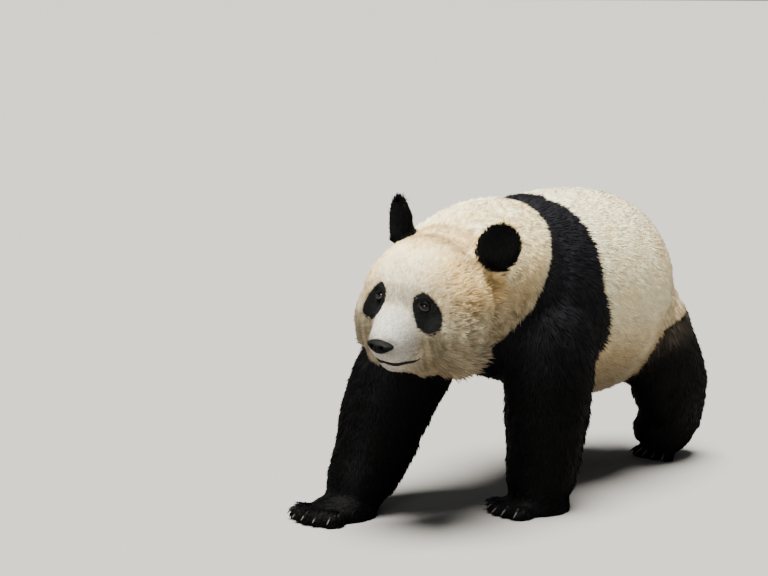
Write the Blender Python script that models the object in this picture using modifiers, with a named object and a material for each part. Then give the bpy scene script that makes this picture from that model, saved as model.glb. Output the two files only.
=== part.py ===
"""Giant panda walking, a still life-size model.

The animal faces -Y, its left side is +X and up is +Z, in metres.  The coat's outer
surface is modelled whole: tubes along the spine and the legs and balls for skull,
cheeks, pads and toes are fused with a voxel remesh, the soles are cut flat on the
floor, and the body is then parted with thin cuts into head, neck, trunk and leg
lengths.  Ears, eyes, nose, tail and claws are bodies of their own fitted against it.
"""
import math
from collections import namedtuple

import bmesh
import bpy
from mathutils import Matrix, Vector

# ---------------------------------------------------------------- driving dimensions
GAP = 0.0004                # clearance between neighbouring solids
VOXEL = 0.008               # grain of the remesh that fuses the body
SMOOTH_ROUNDS = 10          # rounds of smoothing after it, which fillet the joins
BODY_TRIANGLES = 3620       # what the fused body is thinned to
SOLE_DIP = 0.012            # how far a paw is sunk before its sole is cut flat

EYE_RADIUS = 0.0145
EYE_AT = (0.0605, -0.1082, -0.001)      # left eye in the head's frame
EAR_AT = {                              # middle of each ear in the head's frame, the right one pricked
    "left_ear": (0.1400, 0.0720, 0.1230),
    "right_ear": (-0.1390, 0.0720, 0.1275),
}
EAR_RADII = {"left_ear": (0.0540, 0.0240, 0.0600), "right_ear": (0.0575, 0.0245, 0.0650)}
EAR_THINNING = 0.38                     # how much thinner its rim is than its middle
EAR_LEAN = 24.0                         # degrees its top leans outward
EAR_SPREAD = 33.0                       # degrees its bowl faces outward
EAR_CUP = 0.022                         # how deep the bowl is
NOSE_AT = (0.0, -0.1885, -0.0915)
NOSE_RADII = (0.0390, 0.0225, 0.0185)
NOSE_TAPER = 0.22                       # how much narrower its foot is than its middle
NOSE_TILT = -14.0                       # degrees its face looks up
TAIL_AT = (0.0, 0.448, 0.470)
TAIL_RADII = (0.036, 0.026, 0.075)
TAIL_TILT = -8.0                        # degrees its tip stands off the rump

PAD_LENGTH = 0.86                       # a pad's half length, as a part of its paw's
TOE_SIZE = (0.27, 0.29, 0.66)           # a toe's radii, as parts of its paw's
TOE_ROW = 0.80                          # half the row of toes, as a part of the paw's width
TOE_REACH = 0.80                        # the middle toe's place, as a part of the paw's length
TOE_ARC = 0.16                          # how far the outer toes fall back from it
TOE_FAN = 14.0                          # degrees the outer toes turn outward
CLAW_LENGTH = 0.036
CLAW_ROOT = 0.0062                      # half depth of a claw at its root
CLAW_TIP = 0.0007                       # half depth at its tip
CLAW_FLATNESS = 0.72                    # its width as a part of its depth
CLAW_DROOP = 0.30                       # how far down it points at its root, in radians
CLAW_HOOK = 0.90                        # how far it bends over its length, in radians

Ring = namedtuple("Ring", "at wide deep")
Paw = namedtuple("Paw", "at heading lift wide long high")

# Each ring: centre, half width across, half depth through.
TRUNK = [
    Ring((0.0, -0.535, 0.500), 0.070, 0.085),
    Ring((0.0, -0.490, 0.505), 0.140, 0.150),
    Ring((0.0, -0.380, 0.525), 0.195, 0.210),
    Ring((0.0, -0.250, 0.540), 0.228, 0.245),
    Ring((0.0, -0.100, 0.515), 0.245, 0.273),
    Ring((0.0, 0.040, 0.500), 0.255, 0.283),
    Ring((0.0, 0.150, 0.486), 0.230, 0.270),
    Ring((0.0, 0.235, 0.474), 0.192, 0.238),
    Ring((0.0, 0.310, 0.458), 0.140, 0.203),
    Ring((0.0, 0.378, 0.443), 0.100, 0.164),
    Ring((0.0, 0.430, 0.432), 0.075, 0.120),
    Ring((0.0, 0.452, 0.425), 0.040, 0.055),
]
NECK = [
    Ring((0.000, -0.280, 0.570), 0.195, 0.215),
    Ring((0.008, -0.420, 0.605), 0.192, 0.186),
    Ring((0.018, -0.520, 0.610), 0.180, 0.158),
    Ring((0.030, -0.600, 0.600), 0.160, 0.140),
    Ring((0.040, -0.680, 0.590), 0.120, 0.115),
]
HEAD_AT = (0.040, -0.698, 0.586)
HEAD_TURN = (3.9, 8.4, 3.5)             # degrees: nose down, left side down, yaw to its left
SKULL = {                               # balls in the head's frame: centre, radii
    "cranium": ((0.0, 0.005, 0.010), (0.138, 0.140, 0.125)),
    "left_temple": ((0.070, 0.000, -0.020), (0.090, 0.112, 0.105)),
    "right_temple": ((-0.070, 0.000, -0.020), (0.090, 0.112, 0.105)),
    "left_cheek": ((0.086, -0.022, -0.074), (0.083, 0.100, 0.100)),
    "right_cheek": ((-0.086, -0.022, -0.074), (0.083, 0.100, 0.100)),
    "chin": ((0.0, -0.112, -0.137), (0.046, 0.052, 0.036)),
    "left_jaw": ((0.048, -0.082, -0.132), (0.050, 0.056, 0.041)),
    "right_jaw": ((-0.048, -0.082, -0.132), (0.050, 0.056, 0.041)),
    "throat": ((0.0, -0.010, -0.105), (0.090, 0.100, 0.072)),
}
MUZZLE = [
    Ring((0.0, -0.050, -0.050), 0.092, 0.092),
    Ring((0.0, -0.105, -0.072), 0.070, 0.072),
    Ring((0.0, -0.150, -0.094), 0.056, 0.050),
    Ring((0.0, -0.182, -0.106), 0.044, 0.036),
    Ring((0.0, -0.194, -0.110), 0.022, 0.020),
]
LIMBS = {                               # rings of each leg, then its paw
    "left_fore": (
        [
            Ring((0.130, -0.340, 0.540), 0.095, 0.120),
            Ring((0.160, -0.345, 0.420), 0.110, 0.130),
            Ring((0.162, -0.352, 0.300), 0.110, 0.116),
            Ring((0.155, -0.352, 0.210), 0.100, 0.102),
            Ring((0.147, -0.351, 0.110), 0.089, 0.093),
            Ring((0.142, -0.358, 0.040), 0.078, 0.084),
            Ring((0.140, -0.362, 0.010), 0.060, 0.064),
        ],
        Paw((0.136, -0.374, 0.0), -24.0, 0.0, 0.078, 0.104, 0.044),
    ),
    "right_fore": (
        [
            Ring((-0.130, -0.370, 0.540), 0.095, 0.120),
            Ring((-0.160, -0.450, 0.410), 0.110, 0.150),
            Ring((-0.188, -0.533, 0.300), 0.105, 0.132),
            Ring((-0.200, -0.558, 0.220), 0.100, 0.124),
            Ring((-0.206, -0.604, 0.120), 0.086, 0.106),
            Ring((-0.210, -0.662, 0.058), 0.074, 0.082),
            Ring((-0.212, -0.690, 0.020), 0.060, 0.062),
        ],
        Paw((-0.214, -0.716, 0.0), -10.0, 0.0, 0.080, 0.110, 0.050),
    ),
    "left_hind": (
        [
            Ring((0.105, 0.232, 0.500), 0.095, 0.114),
            Ring((0.132, 0.215, 0.400), 0.102, 0.122),
            Ring((0.134, 0.262, 0.310), 0.099, 0.132),
            Ring((0.131, 0.352, 0.210), 0.090, 0.134),
            Ring((0.112, 0.382, 0.135), 0.080, 0.126),
            Ring((0.100, 0.364, 0.090), 0.074, 0.118),
            Ring((0.088, 0.346, 0.055), 0.066, 0.098),
            Ring((0.082, 0.342, 0.030), 0.058, 0.074),
        ],
        Paw((0.088, 0.398, 0.048), -16.0, 36.0, 0.067, 0.090, 0.040),
    ),
    "right_hind": (
        [
            Ring((-0.105, 0.230, 0.500), 0.095, 0.110),
            Ring((-0.132, 0.235, 0.400), 0.108, 0.140),
            Ring((-0.142, 0.208, 0.300), 0.100, 0.128),
            Ring((-0.140, 0.184, 0.200), 0.086, 0.104),
            Ring((-0.137, 0.167, 0.110), 0.077, 0.086),
            Ring((-0.134, 0.157, 0.040), 0.070, 0.078),
            Ring((-0.133, 0.152, 0.010), 0.056, 0.060),
        ],
        Paw((-0.130, 0.126, 0.0), -4.0, 0.0, 0.072, 0.104, 0.044),
    ),
}
# What of the body belongs to each leg: a wider tube with a domed top in the flank.
LIMB_REACH = {
    "left_fore": [
        Ring((0.165, -0.330, 0.590), 0.080, 0.100),
        Ring((0.165, -0.330, 0.550), 0.125, 0.155),
        Ring((0.160, -0.345, 0.300), 0.140, 0.175),
        Ring((0.140, -0.365, 0.060), 0.140, 0.200),
        Ring((0.140, -0.365, -0.120), 0.140, 0.200),
    ],
    "right_fore": [
        Ring((-0.165, -0.350, 0.590), 0.080, 0.100),
        Ring((-0.165, -0.370, 0.540), 0.125, 0.160),
        Ring((-0.190, -0.515, 0.320), 0.150, 0.210),
        Ring((-0.205, -0.630, 0.110), 0.140, 0.220),
        Ring((-0.212, -0.720, -0.120), 0.140, 0.250),
    ],
    "left_hind": [
        Ring((0.160, 0.240, 0.580), 0.080, 0.100),
        Ring((0.160, 0.245, 0.540), 0.115, 0.160),
        Ring((0.148, 0.300, 0.300), 0.140, 0.200),
        Ring((0.110, 0.390, 0.100), 0.125, 0.220),
        Ring((0.100, 0.400, -0.120), 0.125, 0.240),
    ],
    "right_hind": [
        Ring((-0.160, 0.230, 0.580), 0.080, 0.100),
        Ring((-0.160, 0.230, 0.540), 0.115, 0.160),
        Ring((-0.158, 0.200, 0.300), 0.135, 0.180),
        Ring((-0.148, 0.150, 0.080), 0.130, 0.200),
        Ring((-0.146, 0.140, -0.120), 0.130, 0.200),
    ],
}
# The cuts across each leg: a point of the plane and the way down the leg.
LIMB_CUTS = {
    "left_fore": (((0.158, -0.352, 0.265), (0, 0, -1)), ((0.143, -0.356, 0.092), (0, -0.2, -1))),
    "right_fore": (((-0.195, -0.545, 0.262), (0, -0.4, -1)), ((-0.208, -0.630, 0.090), (0, -0.5, -1))),
    "left_hind": (((0.135, 0.335, 0.245), (0, 0.3, -1)), ((0.105, 0.388, 0.112), (0, -0.1, -1))),
    "right_hind": (((-0.147, 0.195, 0.245), (0, -0.2, -1)), ((-0.144, 0.160, 0.090), (0, -0.2, -1))),
}
NECK_CUT = ((0.0, -0.400, 0.640), (0, -0.818, 0.575))       # neck from trunk, withers to throat
HEAD_CUT = (0.0, 0.098, 0.0)                                # in the head's frame, behind the ears

BLACK = (0.010, 0.009, 0.010, 1.0)
CREAM = (0.760, 0.660, 0.500, 1.0)
WHITE = (0.800, 0.740, 0.640, 1.0)
NOSE_BLACK = (0.012, 0.011, 0.012, 1.0)
EYE_BROWN = (0.020, 0.010, 0.006, 1.0)
HORN = (0.550, 0.500, 0.420, 1.0)


# ---------------------------------------------------------------- meshes and modifiers
def clear_scene():
    for obj in list(bpy.data.objects):
        bpy.data.objects.remove(obj)


def collection(name):
    made = bpy.data.collections.new(name)
    bpy.context.scene.collection.children.link(made)
    return made


def object_of(mesh, name, where):
    obj = bpy.data.objects.new(name, mesh)
    where.objects.link(obj)
    return obj


def mesh_of(bm, name):
    mesh = bpy.data.meshes.new(name)
    bmesh.ops.recalc_face_normals(bm, faces=bm.faces)
    bm.to_mesh(mesh)
    bm.free()
    return mesh


def evaluated(obj):
    """The object's mesh with its modifiers applied."""
    graph = bpy.context.evaluated_depsgraph_get()
    return bpy.data.meshes.new_from_object(obj.evaluated_get(graph))


def apply_all(obj):
    mesh = evaluated(obj)
    obj.modifiers.clear()
    obj.data = mesh
    return obj


def copy_of(obj, name, where):
    return object_of(obj.data.copy(), name, where)


def grown(obj, by, where):
    """A copy of the object with its surface moved out by a clearance."""
    bm = bmesh.new()
    bm.from_mesh(obj.data)
    bm.normal_update()
    steps = [vertex.normal * vertex.calc_shell_factor() * by for vertex in bm.verts]
    for vertex, step in zip(bm.verts, steps):
        vertex.co += step
    return object_of(mesh_of(bm, "grown"), "grown", where)


def boolean(obj, tool, operation):
    """The object combined with a tool, which is used up."""
    cut = obj.modifiers.new("cut", "BOOLEAN")
    cut.operation = operation
    cut.solver = "EXACT"
    cut.object = tool
    apply_all(obj)
    bpy.data.objects.remove(tool)
    return obj


def kept_side(obj, point, normal, name, where):
    """A copy of the object on the side of a plane its normal points to, capped."""
    bm = bmesh.new()
    bm.from_mesh(obj.data)
    bmesh.ops.bisect_plane(
        bm,
        geom=bm.verts[:] + bm.edges[:] + bm.faces[:],
        plane_co=point,
        plane_no=normal,
        clear_inner=True,
    )
    rim = [edge for edge in bm.edges if edge.is_boundary]
    bmesh.ops.triangle_fill(bm, edges=rim, use_beauty=True)
    return object_of(mesh_of(bm, name), name, where)


def split(obj, point, normal, beyond, before, where):
    """The two sides of a plane cut as thin as the clearance; the object is used up."""
    normal = Vector(normal).normalized()
    shift = normal * GAP / 2
    point = Vector(point)
    front = kept_side(obj, point + shift, normal, beyond, where)
    back = kept_side(obj, point - shift, -normal, before, where)
    bpy.data.objects.remove(obj)
    return front, back


# ---------------------------------------------------------------- shapes
def ring_frames(rings, side):
    """The two axes of each ring: across the path and through it."""
    points = [Vector(ring.at) for ring in rings]
    frames = []
    for i, point in enumerate(points):
        along = points[min(i + 1, len(points) - 1)] - points[max(i - 1, 0)]
        across = (side - along * side.dot(along) / along.length_squared).normalized()
        frames.append((point, across, along.normalized().cross(across)))
    return frames


def tube(name, rings, where, side=Vector((1, 0, 0)), sides=10, levels=2):
    """A closed loft through unlike oval rings, rounded by Subdivision Surface."""
    swell = 3 / (2 + math.cos(2 * math.pi / sides)) if levels else 1
    bm = bmesh.new()
    loops = []
    for ring, (point, across, through) in zip(rings, ring_frames(rings, side)):
        loop = []
        for k in range(sides):
            turn = 2 * math.pi * k / sides
            offset = across * ring.wide * math.cos(turn) + through * ring.deep * math.sin(turn)
            loop.append(bm.verts.new(point + offset * swell))
        loops.append(loop)
    for low, high in zip(loops, loops[1:]):
        for k in range(sides):
            n = (k + 1) % sides
            bm.faces.new((low[k], low[n], high[n], high[k]))
    bm.faces.new(loops[0])
    bm.faces.new(loops[-1])
    if not levels:
        bmesh.ops.triangulate(bm, faces=bm.faces)
    obj = object_of(mesh_of(bm, name), name, where)
    if levels:
        rounding = obj.modifiers.new("rounding", "SUBSURF")
        rounding.levels = rounding.render_levels = levels
        apply_all(obj)
    return obj


def ball(name, centre, radii, where, turn=None, segments=24):
    """An ellipsoid, turned about its centre."""
    bm = bmesh.new()
    bmesh.ops.create_uvsphere(bm, u_segments=segments, v_segments=segments // 2, radius=1)
    obj = object_of(mesh_of(bm, name), name, where)
    spin = (turn or Matrix.Identity(4)) @ Matrix.LocRotScale(None, None, radii)
    obj.data.transform(Matrix.Translation(centre) @ spin)
    return obj


def fused(name, pieces, where):
    """One closed surface round all the pieces: joined, remeshed and smoothed."""
    bm = bmesh.new()
    for piece in pieces:
        bm.from_mesh(piece.data)
        bpy.data.objects.remove(piece)
    obj = object_of(mesh_of(bm, name), name, where)
    remesh = obj.modifiers.new("remesh", "REMESH")
    remesh.mode = "VOXEL"
    remesh.voxel_size = VOXEL
    smooth = obj.modifiers.new("smooth", "SMOOTH")
    smooth.factor = 0.5
    smooth.iterations = SMOOTH_ROUNDS
    return apply_all(obj)


def thinned(obj, triangles):
    now = sum(len(face.vertices) - 2 for face in obj.data.polygons)
    thin = obj.modifiers.new("thin", "DECIMATE")
    thin.ratio = triangles / now
    return apply_all(obj)


# ---------------------------------------------------------------- head
def turned(x=0.0, y=0.0, z=0.0):
    """Turned about Y, then X, then Z, in degrees."""
    about = ((z, "Z"), (x, "X"), (y, "Y"))
    spin = Matrix.Identity(4)
    for angle, axis in about:
        spin = spin @ Matrix.Rotation(math.radians(angle), 4, axis)
    return spin


def head_frame():
    """Carries the head's own frame, origin in the skull and nose to -Y, into place."""
    pitch, roll, yaw = HEAD_TURN
    return Matrix.Translation(HEAD_AT) @ turned(pitch, roll, yaw)


def placed(obj, frame):
    obj.data.transform(frame)
    return obj


def head_masses(where):
    """The balls and the tube the head is fused from."""
    masses = [tube("muzzle", MUZZLE, where)]
    masses += [ball(name, *spec, where) for name, spec in SKULL.items()]
    return [placed(mass, head_frame()) for mass in masses]


def ear(name, side, where):
    """A round bowl, open forward and outward, thick at its foot and thin at its rim."""
    obj = ball(name, (0, 0, 0), (1, 1, 1), where, segments=16)
    wide, thick, high = EAR_RADII[name]
    for vertex in obj.data.vertices:
        x, y, z = vertex.co
        inside = max(0.0, 1 - x * x - z * z)
        bowl = EAR_CUP * inside if y < 0 else 0.0
        vertex.co = (x * wide, y * thick * (1 - EAR_THINNING * z) + bowl, z * high)
    spin = turned(y=side * EAR_LEAN, z=side * EAR_SPREAD)
    seat = Matrix.Translation(EAR_AT[name]) @ spin
    return placed(obj, head_frame() @ seat)


def nose_pad(where):
    """The nose leather: broad on top, narrowing to the lip, flat in front."""
    obj = ball("nose", (0, 0, 0), (1, 1, 1), where, segments=14)
    wide, deep, high = NOSE_RADII
    for vertex in obj.data.vertices:
        x, y, z = vertex.co
        taper = 1 - NOSE_TAPER * (1 - z)
        vertex.co = (x * wide * taper, y * deep, z * high)
    return placed(obj, head_frame() @ Matrix.Translation(NOSE_AT) @ turned(x=NOSE_TILT))


def eye(name, side, where):
    centre = (side * EYE_AT[0], EYE_AT[1], EYE_AT[2])
    return placed(ball(name, centre, (EYE_RADIUS,) * 3, where, segments=14), head_frame())


# ---------------------------------------------------------------- paws
def paw_frame(paw):
    """The paw's own frame: origin under its middle, toes to -Y, heel lifted."""
    return Matrix.Translation(paw.at) @ turned(x=paw.lift, z=paw.heading)


def toe_frames(paw):
    """The frames of the five toes: origin on the floor, level, pointing to -Y."""
    frames = []
    for k in range(5):
        spread = (k - 2) / 2
        forward = paw.long * (TOE_REACH - TOE_ARC * spread * spread)
        seat = paw_frame(paw) @ Vector((spread * paw.wide * TOE_ROW, -forward, 0.0))
        seat.z = 0.0
        frames.append(Matrix.Translation(seat) @ turned(z=paw.heading + spread * TOE_FAN))
    return frames


def paw_masses(name, paw, where):
    """The pad and toes a paw is fused from; the sole dips below the floor."""
    low = 0.0 if paw.lift else SOLE_DIP
    size = (paw.wide, paw.long * PAD_LENGTH, paw.high)
    pad = ball(f"{name}_pad", (0, 0.012, paw.high / 2 - low), size, where)
    masses = [placed(pad, paw_frame(paw))]
    for frame in toe_frames(paw):
        centre = (0, 0, paw.high / 2 - SOLE_DIP)
        radii = [part * whole for part, whole in zip(TOE_SIZE, (paw.wide, paw.long, paw.high))]
        masses.append(placed(ball(f"{name}_toe", centre, radii, where, segments=16), frame))
    return masses


def claw(name, paw, frame, where):
    """A tapering hook that leaves the toe forward and bends down to the floor."""
    steps = 4
    rings = []
    point = Vector((0, -paw.long / 10, paw.high * TOE_SIZE[2]))
    for k in range(steps):
        part = k / (steps - 1)
        half = CLAW_ROOT * (1 - part) ** 0.7 + CLAW_TIP
        rings.append(Ring(tuple(point), half * CLAW_FLATNESS, half))
        droop = CLAW_DROOP + CLAW_HOOK * part
        point = point + Vector((0, -math.cos(droop), -math.sin(droop))) * CLAW_LENGTH / (steps - 1)
    return placed(tube(name, rings, where, sides=5, levels=0), frame)


# ---------------------------------------------------------------- the animal
def whole_body(where):
    """The fused animal without ears, eyes, nose, tail and claws, standing on z = 0."""
    pieces = [tube("trunk", TRUNK, where), tube("neck", NECK, where)]
    pieces += head_masses(where)
    for name, (rings, paw) in LIMBS.items():
        pieces.append(tube(name, rings, where))
        pieces += paw_masses(name, paw, where)
    body = thinned(fused("body", pieces, where), BODY_TRIANGLES)
    standing = kept_side(body, Vector((0, 0, 0)), Vector((0, 0, 1)), "standing", where)
    bpy.data.objects.remove(body)
    return standing


def part_legs(body, where):
    """Parts each leg from the trunk and then at elbow or knee and at wrist or ankle."""
    for name in LIMBS:
        reach = tube("reach", LIMB_REACH[name], where, levels=0)
        leg = copy_of(body, name, where)
        boolean(leg, copy_of(reach, "reach", where), "INTERSECT")
        boolean(body, grown(reach, GAP, where), "DIFFERENCE")
        bpy.data.objects.remove(reach)
        (bend, down), (ankle, foot_way) = LIMB_CUTS[name]
        rest, _ = split(leg, bend, down, "rest", f"{name}_upper", where)
        split(rest, ankle, foot_way, f"{name}_paw", f"{name}_lower", where)


def part_spine(body, where):
    """Parts head, neck and trunk by a plane at the withers and one behind the ears."""
    forward, _ = split(body, *NECK_CUT, "forward", "trunk", where)
    frame = head_frame()
    behind_ears = frame @ Vector(HEAD_CUT)
    split(forward, behind_ears, frame.to_3x3() @ Vector((0, -1, 0)), "head", "neck", where)


def fit(piece, base, where):
    """Takes from a piece what lies within its base, clearance and all."""
    return boolean(piece, grown(base, GAP, where), "DIFFERENCE")


def named(name):
    return bpy.data.objects[name]


def painted(obj, colour, roughness):
    material = bpy.data.materials.new(obj.name)
    material.use_nodes = True
    shader = material.node_tree.nodes["Principled BSDF"]
    shader.inputs["Base Color"].default_value = colour
    shader.inputs["Roughness"].default_value = roughness
    obj.data.materials.clear()
    obj.data.materials.append(material)


def colours_of(name):
    """Base colour and roughness of a named part."""
    if "claw" in name:
        return HORN, 0.40
    if "eye" in name:
        return EYE_BROWN, 0.06
    if name == "nose":
        return NOSE_BLACK, 0.38
    if "fore" in name or "hind" in name or "ear" in name:
        return BLACK, 0.85
    return (WHITE if name in ("trunk", "tail") else CREAM), 0.85


def centre_on_floor(objects):
    """Moves the animal so that the middle of its footprint is the origin."""
    corners = [vertex.co for obj in objects for vertex in obj.data.vertices]
    middle = [(min(c[i] for c in corners) + max(c[i] for c in corners)) / 2 for i in (0, 1)]
    for obj in objects:
        obj.data.transform(Matrix.Translation((-middle[0], -middle[1], 0.0)))


def build():
    clear_scene()
    panda = collection("giant_panda")
    body = whole_body(panda)
    part_legs(body, panda)
    part_spine(body, panda)
    head = named("head")
    for side, sign in (("left", 1), ("right", -1)):
        fit(ear(f"{side}_ear", sign, panda), head, panda)
    for side, sign in (("left", 1), ("right", -1)):
        ball_of_eye = eye(f"{side}_eye", sign, panda)
        boolean(head, grown(ball_of_eye, GAP, panda), "DIFFERENCE")
    fit(nose_pad(panda), head, panda)
    tail = ball("tail", TAIL_AT, TAIL_RADII, panda, turned(x=TAIL_TILT), segments=14)
    fit(tail, named("trunk"), panda)
    for name, (_, paw) in LIMBS.items():
        foot = named(f"{name}_paw")
        for k, frame in enumerate(toe_frames(paw), 1):
            fit(claw(f"{name}_claw_{k}", paw, frame, panda), foot, panda)
    for obj in panda.objects:
        painted(obj, *colours_of(obj.name))
    centre_on_floor(panda.objects)


build()
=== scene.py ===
"""Looks of the walking giant panda: one skin under a coat of solid tufts, eyes, nose and claws.

Metres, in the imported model's frame: the head points to -Y, the animal's left is +X, up is +Z.
"""
import math
from contextlib import contextmanager

import bmesh
import bpy
import numpy as np
from mathutils import Matrix, Vector
from mathutils.bvhtree import BVHTree
from mathutils.kdtree import KDTree


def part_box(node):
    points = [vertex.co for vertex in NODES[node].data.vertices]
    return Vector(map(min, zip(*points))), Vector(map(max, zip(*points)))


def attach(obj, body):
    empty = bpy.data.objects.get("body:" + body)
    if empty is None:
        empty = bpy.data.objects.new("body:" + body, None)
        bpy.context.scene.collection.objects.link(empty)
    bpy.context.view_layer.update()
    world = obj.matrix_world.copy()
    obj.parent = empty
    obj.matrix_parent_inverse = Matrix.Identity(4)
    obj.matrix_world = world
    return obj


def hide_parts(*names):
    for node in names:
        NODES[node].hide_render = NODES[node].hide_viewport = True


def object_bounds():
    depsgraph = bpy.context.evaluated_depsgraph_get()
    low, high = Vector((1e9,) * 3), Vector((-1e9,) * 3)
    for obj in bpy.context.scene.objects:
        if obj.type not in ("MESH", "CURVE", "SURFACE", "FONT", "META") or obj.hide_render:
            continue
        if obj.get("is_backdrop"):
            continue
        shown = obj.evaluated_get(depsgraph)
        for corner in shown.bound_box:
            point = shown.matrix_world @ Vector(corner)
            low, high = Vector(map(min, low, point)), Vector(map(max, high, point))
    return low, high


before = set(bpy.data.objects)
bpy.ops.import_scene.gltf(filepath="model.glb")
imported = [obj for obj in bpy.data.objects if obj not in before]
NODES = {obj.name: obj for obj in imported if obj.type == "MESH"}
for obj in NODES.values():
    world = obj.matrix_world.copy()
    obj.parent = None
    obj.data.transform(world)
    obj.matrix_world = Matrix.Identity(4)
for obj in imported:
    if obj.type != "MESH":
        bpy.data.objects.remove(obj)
cad_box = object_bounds()
RANDOM = np.random.default_rng(7)

MM = 0.001
LEGS = [f"{side}_{end}" for side in ("left", "right") for end in ("fore", "hind")]
LENGTHS = ("upper", "lower", "paw")
FLESH = ["head", "neck", "trunk", "tail", "left_ear", "right_ear"]
FLESH += [f"{leg}_{part}" for leg in LEGS for part in LENGTHS]
CLAWS = [f"{leg}_claw_{k}" for leg in LEGS for k in range(1, 6)]

# ---- driving values
SKIN_GRAIN = 7 * MM             # voxel of the remesh that closes the skin
CUT_CLOSING = 0.8 * MM          # growth that closes the cuts between the solids
FLANK_FOLD = 8 * MM             # depth of the fold in front of each thigh
TUFTS = 368_000                 # over the whole animal
PIECE_LIMIT = 200_000           # triangles in one piece
LOCK = 14                       # tufts that share one lock
PATCH = 0.003                   # side of a tuft's patch on its bake map
ROOT_DEPTH = 0.8 * MM           # of a tuft's root in the skin
FLOOR_GAP = 0.6 * MM            # between any tuft and the floor
SOLE = 1.5 * MM                 # no hair grows below this height
# The line between the lips, from its middle to its left corner: leftward, forward and up from the eyes.
MOUTH = ((0, 0.058, -0.145), (0.041, 0.04, -0.148), (0.077, 0.018, -0.12))
LIP_BARE = 4.4 * MM             # no hair grows nearer to the mouth
LIP_THICK = 3 * MM
LIP_SHIFTS = {"upper_lip": 2.1 * MM, "lower_lip": -2.2 * MM}
BALL = 13.5 * MM                # radius of an eyeball
LID = 1.3 * MM                  # thickness of the lids over it
OPENING = (11.6 * MM, 8.2 * MM, 7 * MM)  # half width, height and depth of the eye's slit
EYE_SLANT = math.radians(14)    # the outer corner hangs this much
GAZE = (0.3, 0.94, 0.06)        # way the left eye faces, in the head's frame
NOSE_DROP = math.radians(48.1)  # from the level gaze down to the nose, seen from the eyes
NOSE_DEEP = 22 * MM             # nose leather from front to back
CLAW_BARE = 0.55                # part of each claw hidden in the toe's fur
CLAW_THICK = 5.6 * MM
WITHERS_Z = 0.77                # top of the black band on the back
BAND_Z = 0.42                   # where the band meets the forelegs
THIGH_Z = 0.396                 # top of the hind legs' black at its bend
THIGH_BEND = -0.144             # that bend, behind (+) the middle of the thigh
PATCH_SLANT = math.radians(-64)  # lean of the black round the eyes
EAR_SEAT = 0.085                # their hair fans out from this far below their middle

# Kinds of coat: tufts per square millimetre, millimetres, and shares from 0 to 1.
COLUMNS = ("density", "length", "depth", "width", "paleness of the roots", "shagginess")
KINDS = {
    "face": (0.36, 15, 5, 1.25, 0.15, 0.2),
    "cheek": (0.27, 33, 13, 1.6, 0, 1),
    "crown": (0.27, 25, 9, 1.5, 0.25, 0.3),
    "ear": (0.3, 22, 6.5, 1.35, 0, 0.3),
    "neck": (0.2, 42, 15, 2, 0.25, 0.8),
    "trunk": (0.114, 46, 15, 2.3, 0.5, 0.1),
    "tail": (0.12, 50, 14, 2.3, 0.4, 0.5),
    "upper": (0.076, 42, 13, 2.6, 0, 0.4),
    "lower": (0.088, 36, 11, 2.4, 0, 0.6),
    "paw": (0.13, 18, 6, 1.9, 0, 0.2),
}
KIND_NAMES = list(KINDS)

TINTS = {
    "white": (0.94, 0.86, 0.6),
    "muzzle": (0.52, 0.52, 0.49),
    "cream": (0.92, 0.66, 0.3),
    "tan": (0.38, 0.265, 0.125),
    "umber": (0.105, 0.086, 0.06),
    "russet": (0.2, 0.115, 0.065),
    "black": (0.0008, 0.0008, 0.0009),
    # lighter black for the back and shoulders: painted sheen of the lit top
    "band": (0.0098, 0.0096, 0.0122),
    "patch": (0.0112, 0.0118, 0.0124),
    "thigh": (0.058, 0.049, 0.038),
    "iris": (0.0018, 0.001, 0.0006),
    "iris_spoke": (0.0044, 0.0022, 0.0013),
    "pupil": (0.0006, 0.0006, 0.0006),
    "iris_rim": (0.002, 0.0014, 0.0012),
    "eye_white": (0.006, 0.0045, 0.004),
    "lid": (0.005, 0.0048, 0.005),
    # painted highlight along the wet lower lid rim
    "lower_lid_highlight": (0.062, 0.056, 0.053),
    "nose": (0.0044, 0.0043, 0.0044),
    # painted shade inside the nostrils
    "nostril": (0.0004, 0.0004, 0.0004),
    "lip": (0.012, 0.01, 0.01),
    "claw_root": (0.01, 0.009, 0.008),
    "claw_tip": (0.13, 0.12, 0.105),
}
TINTS = {name: np.array(colour) for name, colour in TINTS.items()}

CAMERA_PLACE = (2.9697, -4.5997, 1.3018)
CAMERA_TURN = math.radians(36.5)        # from the animal's front towards its left
CAMERA_TILT = math.radians(8)         # downward
LAMP_AIM = Vector((0, -0.2, 0.4))     # the middle of the animal


# ---- small helpers
def centre(node):
    low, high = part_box(node)
    return np.array((low + high) / 2)


def unit(vectors):
    lengths = np.linalg.norm(vectors, axis=-1, keepdims=True)
    return vectors / np.maximum(lengths, 1e-9)


def dots(a, b):
    return (a * b).sum(-1)


def laid_flat(ways, normals):
    """Ways laid down along the surface, of length 1."""
    return unit(ways - normals * dots(ways, normals)[..., None])


def ease(low, high, value):
    """0 up to low and 1 from high on, eased between them."""
    t = np.clip((value - low) / (high - low), 0, 1)
    return t * t * (3 - 2 * t)


def bell(offset, width):
    """1 at offset 0, falling away to both sides."""
    return np.exp(-((offset / width) ** 2))


def soft_min(a, b, corner):
    """The lower of two distances, with a rounded corner."""
    return -corner * np.logaddexp(-a / corner, -b / corner)


def mix(a, b, t):
    return a + (b - a) * np.asarray(t)[..., None]


def bowed(start, middle, end, t):
    """The curve from start (t 0) through middle (t 0.5) to end (t 1)."""
    start, middle, end = (np.asarray(place, float) for place in (start, middle, end))
    t = np.asarray(t)[..., None]
    pull = 2 * middle - 0.5 * start - 0.5 * end
    return (1 - t) ** 2 * start + 2 * t * (1 - t) * pull + t ** 2 * end


def on_ball(tilt, turn, out, up, gaze):
    """Ways out of a ball, by tilt from its gaze and turn round it."""
    tilt, turn = tilt[:, None], turn[:, None]
    return np.sin(tilt) * (np.cos(turn) * out + np.sin(turn) * up) + np.cos(tilt) * gaze


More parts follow.
